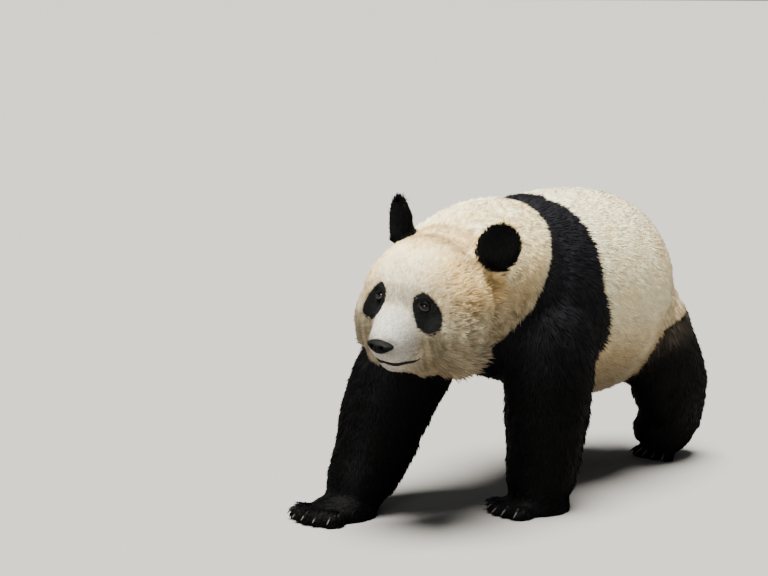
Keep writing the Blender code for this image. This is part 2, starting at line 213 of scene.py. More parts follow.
def turns(count):
    """Even steps round a circle."""
    return np.arange(count) * 2 * math.pi / count


def round_grid(rings, sides, end):
    """Tilt and turn of every point of a ball, up to this near its poles."""
    grid = np.meshgrid(np.linspace(end, math.pi - end, rings), turns(sides), indexing="ij")
    return (angles.ravel() for angles in grid)


def waves(points, size, seed):
    """Smooth noise from -1 to 1, of crossed waves about this size."""
    spin = np.random.default_rng(seed)
    total = np.zeros(len(points))
    for _ in range(7):
        way = unit(spin.normal(size=3)) * spin.uniform(0.7, 1.6) * 2 * math.pi / size
        bend = unit(spin.normal(size=3)) * 2 * math.pi / (size * 2.3)
        total += np.sin(points @ way + 1.6 * np.sin(points @ bend + spin.uniform(0, 6)) + spin.uniform(0, 6))
    return np.clip(total / 3.2, -1, 1)


# ---- meshes
def linked(name, mesh):
    obj = bpy.data.objects.new(name, mesh)
    bpy.context.scene.collection.objects.link(obj)
    return obj


def mesh_from(name, points, faces):
    mesh = bpy.data.meshes.new(name)
    mesh.from_pydata(points.tolist(), [], [tuple(face) for face in faces])
    return mesh


@contextmanager
def editing(mesh):
    """A mesh opened for edits, written back at the end."""
    bm = bmesh.new()
    bm.from_mesh(mesh)
    yield bm
    bm.to_mesh(mesh)
    bm.free()


def rows_of(items, attribute, width, kind=np.float32):
    """One attribute of a mesh's items, a row for each."""
    flat = np.empty(len(items) * width, kind)
    items.foreach_get(attribute, flat)
    return flat.reshape(-1, width)


def points_of(mesh):
    return rows_of(mesh.vertices, "co", 3).astype(float)


def painted(mesh, colours, alpha=1):
    """Paints the points of a mesh for the materials to read."""
    rgba = np.empty((len(mesh.vertices), 4), np.float32)
    rgba[:, :3] = colours
    rgba[:, 3] = alpha
    paint = mesh.color_attributes.new("coat", "FLOAT_COLOR", "POINT")
    paint.data.foreach_set("color", rgba.ravel())


def crossed_sides(points, triangles):
    """A way square to each triangle, as long as twice its area."""
    a, b, c = (points[triangles[:, i]] for i in range(3))
    return np.cross(b - a, c - a)


def normals_of(points, triangles):
    """Each point's normal, from the triangles round it."""
    across = np.repeat(crossed_sides(points, triangles), 3, axis=0)
    total = [np.bincount(triangles.ravel(), across[:, axis], len(points)) for axis in range(3)]
    return unit(np.stack(total, axis=1))


def neighbour_table(count, triangles):
    """A row of each point's neighbours, filled up with itself."""
    pairs = np.concatenate([triangles[:, [0, 1]], triangles[:, [1, 2]], triangles[:, [2, 0]]])
    pairs = np.unique(np.sort(pairs, axis=1), axis=0)
    both = np.concatenate([pairs, pairs[:, ::-1]])
    both = both[np.argsort(both[:, 0], kind="stable")]
    start = np.searchsorted(both[:, 0], np.arange(count))
    rank = np.arange(len(both)) - start[both[:, 0]]
    table = np.repeat(np.arange(count)[:, None], rank.max() + 1, axis=1)
    table[both[:, 0], rank] = both[:, 1]
    return table


def smoothed(field, table, rounds):
    for _ in range(rounds):
        field = 0.35 * field + 0.65 * field[table].mean(axis=1)
    return field


def unwrap(obj):
    """Unwraps an object's own shape into its bake map."""
    bpy.ops.object.select_all(action="DESELECT")
    obj.data.uv_layers.new(name="OFBake")
    bpy.context.view_layer.objects.active = obj
    obj.select_set(True)
    bpy.ops.object.mode_set(mode="EDIT")
    bpy.ops.mesh.select_all(action="SELECT")
    bpy.ops.uv.smart_project(angle_limit=math.radians(66), island_margin=0.004)
    bpy.ops.object.mode_set(mode="OBJECT")


# ---- the head's frame
class HeadFrame:
    """Origin midway between the eyes; x to the animal's left, y forward, z up."""

    def __init__(self):
        left, right, nose = (Vector(centre(name)) for name in ("left_eye", "right_eye", "nose"))
        self.origin = np.array((left + right) / 2)
        across = (left - right).normalized()
        down = nose - (left + right) / 2
        down = (down - across * down.dot(across)).normalized()
        forward = Matrix.Rotation(-NOSE_DROP, 3, across) @ down
        self.axes = np.array([across, forward, forward.cross(across)])
        self.eye_gap = (left - right).length / 2
        self.nose = self.into(np.array([nose]))[0]

    def into(self, points):
        return (points - self.origin) @ self.axes.T

    def out(self, points):
        return np.asarray(points) @ self.axes + self.origin

    def turned(self, vectors):
        return np.asarray(vectors) @ self.axes


HEAD = HeadFrame()


def nearest(points, places):
    """How far each point is from the nearest place, up to a metre."""
    best = np.full(len(points), 1.0)
    for place in places:
        best = np.minimum(best, np.linalg.norm(points - place, axis=1))
    return best


def mouth_distance(head_xyz):
    """Distance from the line of the mouth."""
    one_side = head_xyz.copy()
    one_side[:, 0] = np.abs(head_xyz[:, 0])
    return nearest(one_side, bowed(*MOUTH, np.linspace(0, 1, 25)))


def eye_distance(head_xyz):
    """Distance from the nearer eye, across the face."""
    across, forward, up = head_xyz.T
    return np.hypot(np.abs(across) - HEAD.eye_gap, up) + 4 * np.maximum(0, -0.03 - forward)


def muzzle_amount(head_xyz):
    """1 over the muzzle and nose bridge, 0 away from them."""
    across, forward, _ = head_xyz.T
    return ease(0, 0.045, forward) * ease(0.095, 0.055, np.abs(across))


def face_detail(head_xyz):
    """1 over the eyes and lips, falling to 0 away from them."""
    eyes = ease(0.04, 0.024, eye_distance(head_xyz))
    lips = ease(0.03, 0.012, mouth_distance(head_xyz))
    across, forward, up = head_xyz.T
    muzzle = ease(0.075, 0.06, np.abs(across)) * ease(-0.01, 0.01, forward) * (up > -0.2) * 0.3
    return np.maximum(np.maximum(eyes, lips), muzzle)


def bare_amount(head_xyz, on_head):
    """1 where no hair grows: eye openings, nose leather and lips."""
    across, forward, up = head_xyz.T
    eye = ease(0.0155, 0.0135, np.hypot(np.abs(across) - HEAD.eye_gap, up * 1.25)) * (forward > -0.03)
    aside, ahead, above = (head_xyz - HEAD.nose).T
    leather = ease(1.12, 1, np.hypot(aside / 0.026, (above + 0.005) / 0.013)) * (ahead > -0.03)
    lips = mouth_distance(head_xyz) < LIP_BARE
    return np.clip((eye + leather + lips) * (on_head > 0.4), 0, 1)


# ---- the skin
def joined_flesh():
    """All the flesh in one mesh, each solid grown a little to close the cuts."""
    bm = bmesh.new()
    for name in FLESH:
        mesh = NODES[name].data.copy()
        with editing(mesh) as piece:
            bmesh.ops.remove_doubles(piece, verts=piece.verts, dist=0.01 * MM)
            bmesh.ops.recalc_face_normals(piece, faces=piece.faces)
            for vertex in piece.verts:
                vertex.co += vertex.normal * CUT_CLOSING
        bm.from_mesh(mesh)
        bpy.data.meshes.remove(mesh)
    joined = bpy.data.meshes.new("outline")
    bm.to_mesh(joined)
    bm.free()
    return joined


def outline_mesh():
    """One closed surface round all the flesh, out to the tips of the coat."""
    obj = linked("outline", joined_flesh())
    remesh = obj.modifiers.new("remesh", "REMESH")
    remesh.mode = "VOXEL"
    remesh.voxel_size = SKIN_GRAIN
    smooth = obj.modifiers.new("smooth", "SMOOTH")
    smooth.factor = 0.5
    smooth.iterations = 3
    graph = bpy.context.evaluated_depsgraph_get()
    mesh = bpy.data.meshes.new_from_object(obj.evaluated_get(graph))
    bpy.data.objects.remove(obj)
    with editing(mesh) as bm:
        bmesh.ops.delete(bm, geom=smaller_shells(bm), context="VERTS")
        bmesh.ops.triangulate(bm, faces=bm.faces)
        refine_face(bm)
    return mesh


def smaller_shells(bm):
    """The vertices of every shell but the largest."""
    seen, shells = set(), []
    for start in bm.verts:
        shell = [] if start in seen else [start]
        seen.add(start)
        for vertex in shell:
            fresh = {edge.other_vert(vertex) for edge in vertex.link_edges} - seen
            seen |= fresh
            shell += fresh
        shells.append(shell)
    return [vertex for shell in sorted(shells, key=len)[:-1] for vertex in shell]


def refine_face(bm):
    """Gives muzzle, lips and eye sockets a finer grain."""
    for least_detail in (0.05, 0.5):
        fine = face_detail(HEAD.into(np.array([vertex.co for vertex in bm.verts]))) > least_detail
        bm.verts.index_update()
        edges = [e for e in bm.edges if fine[e.verts[0].index] and fine[e.verts[1].index]]
        bmesh.ops.subdivide_edges(bm, edges=edges, cuts=1, use_grid_fill=True)
        bmesh.ops.triangulate(bm, faces=bm.faces)


def nearest_nodes(points):
    """The index in FLESH of the solid that each point lies on."""
    corners, faces, owner = [], [], []
    for index, name in enumerate(FLESH):
        mesh = NODES[name].data
        base = len(corners)
        corners += [vertex.co.copy() for vertex in mesh.vertices]
        faces += [[base + k for k in face.vertices] for face in mesh.polygons]
        owner += [index] * len(mesh.polygons)
    tree = BVHTree.FromPolygons(corners, faces)
    return np.array([owner[tree.find_nearest(Vector(p))[2]] for p in points])


def kind_weights(labels, head_xyz):
    """Each point's share of each kind of coat, before smoothing."""
    weights = np.zeros((len(labels), len(KINDS)))
    for index, name in enumerate(FLESH[1:], 1):
        weights[labels == index, KIND_NAMES.index(name.split("_")[-1])] = 1
    at = labels == FLESH.index("head")
    across, forward, up = head_xyz[at].T
    face = ease(-0.055, 0, forward)
    side = ease(0.085, 0.13, np.abs(across)) + ease(0.03, -0.1, up)
    side = np.clip(side, 0, 1) * (1 - ease(-0.01, 0.03, forward))
    for kind, weight in (("face", face), ("cheek", (1 - face) * side), ("crown", (1 - face) * (1 - side))):
        weights[at, KIND_NAMES.index(kind)] = weight
    return weights


class Skin:
    """The skin, with what the coat needs to know at each point."""

    def __init__(self):
        self.mesh = outline_mesh()
        outline = points_of(self.mesh)
        self.mesh.calc_loop_triangles()
        self.triangles = rows_of(self.mesh.loop_triangles, "vertices", 3, np.int32)
        self.table = neighbour_table(len(outline), self.triangles)
        self.labels = nearest_nodes(outline)
        outline = self.faired(outline)
        self.head_xyz = HEAD.into(outline)
        self.kinds = smoothed(kind_weights(self.labels, self.head_xyz), self.table, 34)
        self.on_head = self.share_of(["head"], 6)
        self.muzzle = muzzle_amount(self.head_xyz) * self.on_head
        self.near_eye = ease(0.04, 0.014, eye_distance(self.head_xyz)) * self.on_head
        normals = normals_of(outline, self.triangles)
        self.belly = ease(-0.3, -0.9, normals[:, 2]) * self.kinds[:, KIND_NAMES.index("trunk")]
        self.depth = self.blend("depth") * MM * (1 - 0.5 * self.muzzle) * (1 - 0.75 * self.near_eye)
        self.depth += 5 * MM * self.belly
        sunk = self.sunk(outline, normals) - normals * (FLANK_FOLD * flank_fold(outline))[:, None]
        self.points = creased_lips(round_the_eyes(smoothed(sunk, self.table, 2)))
        self.normals = normals_of(self.points, self.triangles)
        self.mesh.vertices.foreach_set("co", self.points.astype(np.float32).ravel())
        self.mesh.update()

    def share_of(self, names, rounds):
        """1 on these solids and 0 off them, with smoothed edges."""
        inside = np.isin(self.labels, [FLESH.index(name) for name in names]) * 1.0
        return smoothed(inside, self.table, rounds)

    def faired(self, outline):
        """Eases the joins of trunk and legs, and of crown and neck."""
        share = self.share_of(["trunk", *[f"{leg}_upper" for leg in LEGS]], 12) ** 2
        skull = self.share_of(["head"], 12)
        off_ears = np.clip(1 - 3 * self.share_of(["left_ear", "right_ear"], 12), 0, 1)
        high = ease(0, 0.07, HEAD.into(outline)[:, 2])
        share = np.maximum(share, 4 * skull * (1 - skull) * high * off_ears)
        eased = outline + (smoothed(outline, self.table, 40) - outline) * share[:, None]
        normals = normals_of(eased, self.triangles)
        filling = dots(smoothed(eased, self.table, 90) - eased, normals).clip(0)
        haunch = ease(0.22, 0.34, eased[:, 1]) * ease(0.4, 0.48, eased[:, 2])
        return eased + normals * (1.3 * filling * haunch)[:, None]

    def blend(self, column):
        """One column of KINDS at each point."""
        values = [kind[COLUMNS.index(column)] for kind in KINDS.values()]
        return self.kinds @ np.array(values)

    def sunk(self, outline, normals):
        """The outline moved in by the coat's depth, with its soles on the floor."""
        grip = ease(0.02, 0.004, outline[:, 2]) * ease(-0.5, -0.9, normals[:, 2])
        points = outline - normals * (self.depth * (1 - grip))[:, None]
        low = (grip > 0.5) | (points[:, 2] < 1 * MM)
        points[low, 2] = np.where(grip[low] > 0.5, 0, np.maximum(points[low, 2], 0))
        return points


def flank_fold(points):
    """1 along the fold of the flank in front of each thigh."""
    x, y, z = points.T
    line = 0.272 + 0.1 * ease(0.5, 0.4, z)
    high = ease(0.38, 0.44, z) * ease(0.765, 0.65, z)
    return bell(y - line, 0.052) * high * ease(0.06, 0.12, np.abs(x - 0.02))


def eye_frame(side):
    """An eyeball's middle and its ways out, up and ahead; side is 1 for the left."""
    middle = HEAD.out((side * HEAD.eye_gap, -1 * MM, 0))
    gaze = unit(HEAD.turned((side * GAZE[0], GAZE[1], GAZE[2])))
    out = laid_flat(HEAD.turned((side, 0, 0)), gaze)
    up = HEAD.turned((0, 0, 1))
    up = unit(up - gaze * dots(up, gaze) - out * dots(up, out))
    lean, rise = math.cos(EYE_SLANT), math.sin(EYE_SLANT)
    return middle, out * lean - up * rise, up * lean + out * rise, gaze


def slit(turn):
    """How far the eye's opening reaches along the ball, at each turn."""
    wide, above, below = OPENING
    high = np.where(np.sin(turn) > 0, above, below)
    return (np.abs(np.cos(turn) / wide) ** 1.8 + np.abs(np.sin(turn) / high) ** 1.8) ** (-1 / 1.8)


def round_the_eyes(points):
    """Lays the skin over the eyeballs and sinks it behind their openings."""
    for side in (1, -1):
        middle, out, up, gaze = eye_frame(side)
        offset = points - middle
        reach = np.linalg.norm(offset, axis=1)
        way = offset / reach[:, None]
        arc = np.arccos(np.clip(dots(way, gaze), -1, 1)) * BALL
        turn = np.arctan2(dots(way, up), dots(way, out))
        gap = reach - (BALL + LID)
        lidded = BALL + LID + 0.5 * (gap + np.sqrt(gap ** 2 + (2.5 * MM) ** 2))
        hollow = ease(4 * MM, 2 * MM, arc - slit(turn))
        wanted = lidded * (1 - hollow) + (BALL - 2.5 * MM) * hollow
        wanted = np.where((reach < 3 * BALL) & (dots(way, gaze) > 0.05), wanted, reach)
        points = middle + way * wanted[:, None]
    return points


def creased_lips(points):
    """Draws the skin in along the line of the mouth."""
    crease = ease(5.5 * MM, 1 * MM, mouth_distance(HEAD.into(points)))
    return points - HEAD.turned((0, 1, 0)) * (2.6 * MM * crease)[:, None]


# ---- the lie of the coat
def lie_of_coat(skin):
    """The way the hair points, all along the skin."""
    lie = np.zeros((len(skin.points), 3))
    for index, name in enumerate(FLESH):
        at = skin.labels == index
        lie[at] = lie_on(name, skin.points[at], skin.head_xyz[at])
    lie = smoothed(laid_flat(lie, skin.normals), skin.table, 22)
    return laid_flat(lie, skin.normals)


def lie_on(name, points, head_xyz):
    """The way the hair points on one solid, not yet along the skin."""
    side = np.clip((points[:, 0] - 0.02) / 0.12, -1, 1)
    if name == "head":
        way = unit(head_xyz - (HEAD.nose + (0, 0.02, 0.012)))
        back = ease(0.02, -0.08, head_xyz[:, 1])
        way[:, 1] -= 0.9 * back
        way[:, 2] -= 0.5 * back * ease(0.05, -0.06, head_xyz[:, 2])
        return HEAD.turned(way)
    if name.endswith("ear"):
        return unit(points - (centre(name) - HEAD.turned((0, 0, EAR_SEAT))))
    if name == "neck":
        return np.stack([0.1 * side, np.ones(len(side)), -0.75 * np.abs(side)], axis=1)
    if name == "trunk":
        rump = ease(0.4, 0.62, points[:, 1])
        return np.stack([0.05 * side, 1 - 0.6 * rump, -0.45 * np.abs(side) - 0.9 * rump], axis=1)
    if name.endswith("paw"):
        return paw_lie(name, points)
    backward = {"tail": 0.1, "lower": 0.12, "upper": 0.42 if "hind" in name else 0.3}
    return (0, backward[name.split("_")[-1]], -1)


def paw_lie(name, points):
    """Down at the ankle, and to the claws over the foot."""
    leg = name.rsplit("_", 1)[0]
    claws = np.mean([centre(f"{leg}_claw_{k}") for k in range(1, 6)], axis=0)
    ahead = unit(claws - centre(name))
    ahead[2] = -0.35
    low = ease(0.11, 0.045, points[:, 2])
    return mix(np.array([0, 0, -1]), ahead, low)


# ---- markings, stains and painted shade
def band_amount(points):
    """Positive inside the black band, in metres from its edge."""
    x, y, z = points.T
    fall = np.clip((WITHERS_Z - z) / (WITHERS_Z - BAND_Z), 0, 1)
    reach = 1 + 0.35 * ease(0, -0.15, x) * ease(0.35, 0.8, fall)
    front = -0.018 - 0.268 * reach * fall ** 0.6 - 0.02 * np.sin(math.pi * fall)
    front -= 0.15 * ease(-0.03, -0.12, x) * ease(0.66, 1, fall)
    front = np.where(z < BAND_Z, front - 2 * (BAND_Z - z), front)
    rear = -0.016 + 0.026 * ease(0, 0.12, fall) - 0.01 * ease(0.2, 0.55, fall)
    rear += 0.045 * ease(0.55, 0.98, fall) - 0.1 * ease(0.345, 0.26, z)
    spine = ease(0.075, 0.045, np.abs(x)) * ease(0.15, 0.05, fall)
    return np.minimum(y - front + 0.042 * spine, rear + 0.018 * spine - y)


def thigh_amount(points, side):
    """Positive in a hind leg's black, below an edge that climbs to the rump."""
    y = points[:, 1] - centre(f"{side}_hind_upper")[1]
    edge = soft_min(1.6 * (y - THIGH_BEND), 0.32 * (y - THIGH_BEND), 0.006)
    return THIGH_Z + edge - 1.1 * np.maximum(0, y - 0.045) - points[:, 2]


def patch_amount(head_xyz):
    """Positive inside the black patches round the eyes."""
    across, forward, up = head_xyz.T
    x = np.abs(across) - (HEAD.eye_gap + 0.008)
    z = up + 0.0165
    along = x * math.cos(PATCH_SLANT) + z * math.sin(PATCH_SLANT)
    aside = -x * math.sin(PATCH_SLANT) + z * math.cos(PATCH_SLANT)
    wide = 0.029 + 0.09 * np.clip(along, -0.05, 0.05)
    inside = 1 - (np.abs(along / 0.05) ** 2.3 + np.abs(aside / wide) ** 2.3) ** (1 / 2.3)
    return inside * 0.03 - 10 * np.maximum(0, -0.045 - forward)


def black_amount(points, head_xyz, parts):
    """Positive where the coat is black, roughly in metres from the edge."""
    z = points[:, 2]
    amount = np.where(parts["head"] < 0.5, band_amount(points), -1)
    amount = np.where((parts["neck"] > 0.5) & (z > BAND_Z + 0.02), np.minimum(amount, 0.03), amount)
    for side in ("left", "right"):
        hind = (parts[f"{side}_hind"] - 0.45) * 0.12
        fore = (parts[f"{side}_fore"] - 0.5) * 0.12 - 10 * np.maximum(0, z - BAND_Z)
        amount = np.maximum(amount, np.maximum(soft_min(hind, thigh_amount(points, side), 0.01), fore))
    amount = np.maximum(amount, (parts["ear"] - 0.36) * 0.05)
    face = np.maximum(patch_amount(head_xyz), 4.2 * MM - mouth_distance(head_xyz))
    return np.maximum(amount, np.where(parts["head"] > 0.5, face, -1))


def rough_black(points, head_xyz, parts):
    """The same, with the edges on the body wandering a little."""
    return black_amount(points, head_xyz, parts) + 0.003 * waves(points, 0.03, 5) * (1 - parts["head"])


def stains_and_painted_shade(points, head_xyz, parts):
    """How much of each darker tint is laid on the white coat, in turn: real stains and colours, and painted
    shade under the head, neck and body and in the folds.
    """
    _, forward, up = head_xyz.T
    x, y, z = points.T
    blotch, fine = waves(points, 0.11, 3), waves(points, 0.025, 4)
    streak = waves(points * (1, 1, 0.25), 0.018, 8)
    head = parts["head"]
    body = (1 - head) * (1 - parts["neck"])
    crest = ease(-0.035, -0.085, forward) * ease(0.05, 0.1, up)
    parting = bell(forward + 0.098, 0.018) * ease(0.06, 0.11, up)
    cheek = ease(0.08, -0.11, up) * ease(0.06, 0, forward)
    jaw = ease(-0.1, -0.155, up) * ease(0.065, 0.02, forward)
    # painted shade: the lower cheeks and jaw darkened as fur that faces down, partly their real brownish tone
    low = ease(0.115, -0.12, up) * ease(0.07, 0, forward)
    collar = (1 - head) * ease(-0.1, -0.16, y)
    # lower neck above the band darkened: partly painted shade, partly real brownish fur
    ruff = ease(0.7, 0.53, z) * ease(-0.46, -0.4, y)
    # the fold between head and neck under the ears: real reddish-brown fur with painted shade of the fold
    fold = bell(y + 0.44, 0.04) * ease(0.44, 0.53, z) * ease(0.72, 0.62, z)
    fold *= ease(0.06, 0.12, np.abs(x - 0.05)) * ease(0.55, 0.3, head)
    flank = ease(0.52, 0.34, z) * (1 - 0.6 * bell(y - 0.235, 0.035))
    # painted shade of the fold in front of the thighs, carried back over the rump as a tan tone
    behind = ease(0.25, 0.32, y) * ease(0.8, 0.7, z)
    return (
        ("tan", head * crest * (0.5 + 0.26 * fine)),
        ("umber", head * parting * (0.34 + 0.2 * fine)),
        ("tan", head * cheek * (0.2 + 0.14 * streak)),
        ("tan", head * jaw * 0.6),
        # umber on the lower head: painted shade, partly real brownish fur
        ("umber", head * low * (0.68 + 0.15 * streak)),
        ("tan", collar * ease(0.66, 0.52, z) * (0.16 + 0.22 * streak)),
        # umber on the lower neck: painted shade, partly real brownish fur
        ("umber", collar * ruff * (0.68 + 0.18 * streak)),
        # russet in that fold: real reddish-brown fur and painted shade
        ("russet", fold * 0.75),
        ("tan", body * flank * (0.78 + 0.18 * streak)),
        # lower body and belly darkened: painted shade of the underside, partly soil staining
        ("umber", body * ease(0.46, 0.27, z) * 0.72),
        # tan behind the flank fold: painted shade
        ("tan", body * behind * (0.2 + 0.12 * blotch + 0.12 * streak)),
    )


def pale_colour(points, head_xyz, parts):
    """The white coat, cream over crown and neck, stained below and darkened there by painted shade."""
    across, forward, up = head_xyz.T
    head = parts["head"]
    cream = 0.2 + 0.36 * parts["neck"] + 0.16 * waves(points, 0.11, 3) + 0.1 * waves(points, 0.025, 4)
    cream += 0.68 * head * ease(0.02, -0.06, forward) * ease(-0.06, 0.03, up)
    fringe = ease(-0.065, -0.015, band_amount(points))
    fringe *= ease(0.5, 0.62, points[:, 2]) * (points[:, 1] < 0.1)
    cream *= 1 - 0.85 * fringe * (1 - head)
    colour = mix(TINTS["white"], TINTS["cream"], np.clip(cream, 0, 1))
    for tint, amount in stains_and_painted_shade(points, head_xyz, parts):
        colour = mix(colour, TINTS[tint], np.clip(amount, 0, 1))
    muzzle = muzzle_amount(head_xyz) * head
    colour = mix(colour, TINTS["muzzle"], 0.88 * muzzle)
    # painted shade: the lower sides of the muzzle darkened
    shaded = muzzle * ease(-0.075, -0.115, up) * ease(0, 0.03, np.abs(across))
    return colour * (1 - 0.06 * shaded)[:, None]


def coat_colour(points, head_xyz, parts, amount):
    """Colours at points, black where amount is positive."""
    z = points[:, 2]
    off_ears = 1 - parts["ear"]
    haze = ease(0.075, 0, amount) * ease(0.24, 0.36, z)
    haze *= np.maximum(parts["left_hind"], parts["right_hind"])
    # painted sheen: black fur lightened with height, as where the top is lit
    dark = mix(TINTS["black"], TINTS["band"], ease(0.3, 0.62, z) * off_ears)
    dark = mix(dark, TINTS["patch"], parts["head"] * off_ears)
    dark = mix(dark, TINTS["thigh"], haze * (0.9 + 0.3 * waves(points, 0.02, 9)))
    dark = dark * (1 + 0.25 * waves(points, 0.05, 6))[:, None]
    return mix(pale_colour(points, head_xyz, parts), dark, amount > 0)


def parts_at(skin):
    """How much each point of the skin belongs to each part."""
    groups = {"head": ["head"], "neck": ["neck"], "ear": ["left_ear", "right_ear"]}
    for leg in LEGS:
        groups[leg] = [f"{leg}_{part}" for part in LENGTHS]
    return {name: skin.share_of(members, 3) for name, members in groups.items()}


# ---- the coat
def coat_piece_names(skin):
    """The coat piece that each triangle of the skin belongs to."""
    middle = skin.points[skin.triangles].mean(axis=1)
    kinds = skin.kinds[skin.triangles].mean(axis=1).argmax(axis=1)
    names = []
    for (x, y, _), head_x, index in zip(middle, HEAD.into(middle)[:, 0], kinds):
        kind = KIND_NAMES[index]
        if kind in ("face", "neck", "ear"):
            name = "ears" if kind == "ear" else kind
        elif kind in ("cheek", "crown"):
            name = "head_left" if head_x > 0 else "head_right"
        elif kind in ("trunk", "tail"):
            name = ("left_" if x > 0.02 else "right_") + ("side" if y < 0.19 else "rump")
        else:
            name = ("left_" if x > -0.02 else "right_") + ("foreleg" if y < 0.12 else "hindleg")
        names.append("coat_" + name)
    return np.array(names, dtype=object)


def unwrapped(skin, chosen):
    """Map places of the chosen triangles' corners."""
    used, corners = np.unique(skin.triangles[chosen], return_inverse=True)
    mesh = mesh_from("patch", skin.points[used], corners.reshape(-1, 3))
    obj = linked("patch", mesh)
    unwrap(obj)
    places = rows_of(mesh.uv_layers[0].data, "uv", 2)
    bpy.data.objects.remove(obj)
    return places.reshape(-1, 3, 2)


TUFT_FACES = np.array([(0, 1, 2), (3, 2, 1), (0, 3, 1), (0, 2, 3)])
TUFT_PATCH = PATCH * np.array([(0, -0.5), (-0.5, -0.1), (0.5, -0.1), (0, 0.5)])
TUFT_ALONG = np.array([0, 0.55, 0.55, 1])   # how far from root to tip each corner is


def tuft_points(root, normal, lie, sizes):
    """Each tuft's root, two points at its bend, and tip, with their shading normals."""
    length, lift, width, curl = (size[:, None] for size in sizes[:4])
    aside = np.cross(normal, lie)
    flat = np.sqrt(np.maximum(length ** 2 - lift ** 2, (0.3 * length) ** 2))
    bend = root + lie * (0.42 * flat) + normal * (0.68 * lift) + aside * (0.35 * curl)
    tip = root + lie * flat + normal * lift + aside * curl
    half = aside * (width / 2)
    points = np.stack([root - normal * ROOT_DEPTH, bend - half, bend + half, tip], axis=1)
    points[:, :, 2] = np.maximum(points[:, :, 2], FLOOR_GAP)
    leans = [unit(normal - 0.55 * aside), unit(normal + 0.55 * aside), unit(normal + 0.25 * lie)]
    return points, np.stack([normal, *leans], axis=1)


def tuft_mesh(name, points, normals, uv, paleness, colours):
    """A mesh of closed tufts, each with a patch of the bake map at its root."""
    count = len(points)
    faces = (TUFT_FACES[None] + 4 * np.arange(count)[:, None, None]).reshape(-1, 3)
    mesh = mesh_from(name, points.reshape(-1, 3), faces)
    layer = mesh.uv_layers.new(name="OFBake")
    places = np.clip(uv[:, None, None] + TUFT_PATCH[TUFT_FACES][None], 0, 1)
    layer.data.foreach_set("uv", places.astype(np.float32).ravel())
    # alpha runs from root to tip; low alpha gets the painted root shade, less where the roots are paler
    alpha = TUFT_ALONG + (1 - TUFT_ALONG) * paleness[:, None]
    painted(mesh, np.repeat(colours, 4, axis=0), alpha.ravel())
    mesh.shade_smooth()
    mesh.normals_split_custom_set_from_vertices(normals.reshape(-1, 3).astype(np.float32))
    return mesh


def sown(weight):
    """Evenly spread picks of triangles, and a place inside each."""
    total = np.cumsum(weight)
    picks = (np.arange(TUFTS) + RANDOM.random(TUFTS)) * total[-1] / TUFTS
    owner = np.searchsorted(total, picks).clip(0, len(weight) - 1)
    a, b = RANDOM.random((2, TUFTS))
    over = a + b > 1
    a[over], b[over] = 1 - a[over], 1 - b[over]
    return owner, np.stack([1 - a - b, a, b], axis=1)


